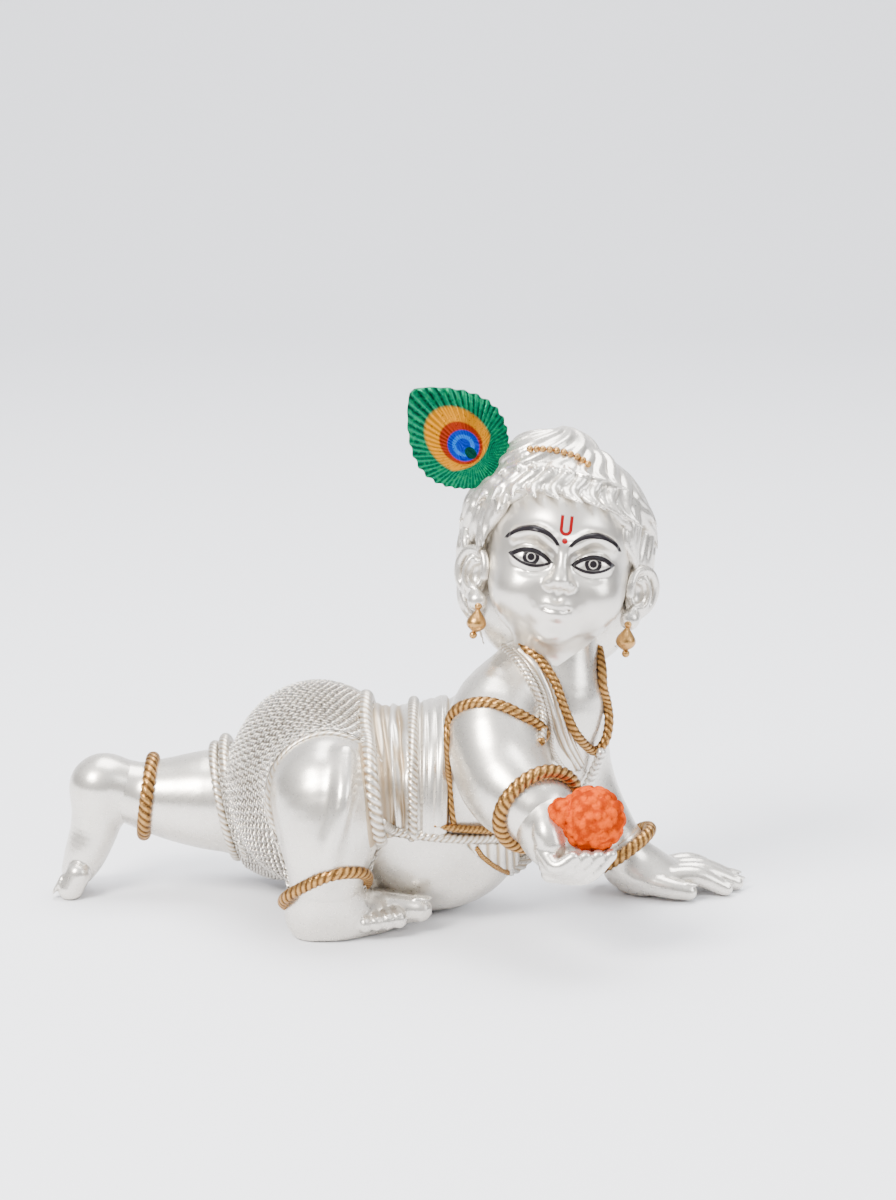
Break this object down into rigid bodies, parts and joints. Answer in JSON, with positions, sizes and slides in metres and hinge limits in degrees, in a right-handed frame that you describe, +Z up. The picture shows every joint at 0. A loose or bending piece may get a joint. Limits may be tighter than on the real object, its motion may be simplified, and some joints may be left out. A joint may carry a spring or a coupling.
{
  "type": "crawling laddu gopal idol",
  "caption": "Small silvered idol of a crawling infant deity holding a round sweet, with a peacock feather in the hair, resting on its belly, foot, toes and palm.",
  "frame": {"origin": "on the table, under the middle of the whole idol's box", "axes": "+X from the toes of the kneeling leg to the fingers of the planted hand, +Y to the figure's left, away from the side that faces the viewer, +Z up"},
  "size_m": [0.123, 0.0609, 0.0932],
  "materials": {
    "pearl_silver": "satin pearl silver plate with a champagne tint in the recesses and antique gold on the twisted cords",
    "laddu_orange": "orange paint with a crumbly surface",
    "feather_green": "metallic green enamel with a yellow, brown and blue eye"
  },
  "bodies": {
    "root": {"figure": "pearl_silver", "laddu": "laddu_orange", "peacock_feather": "feather_green"}
  },
  "joints": []
}
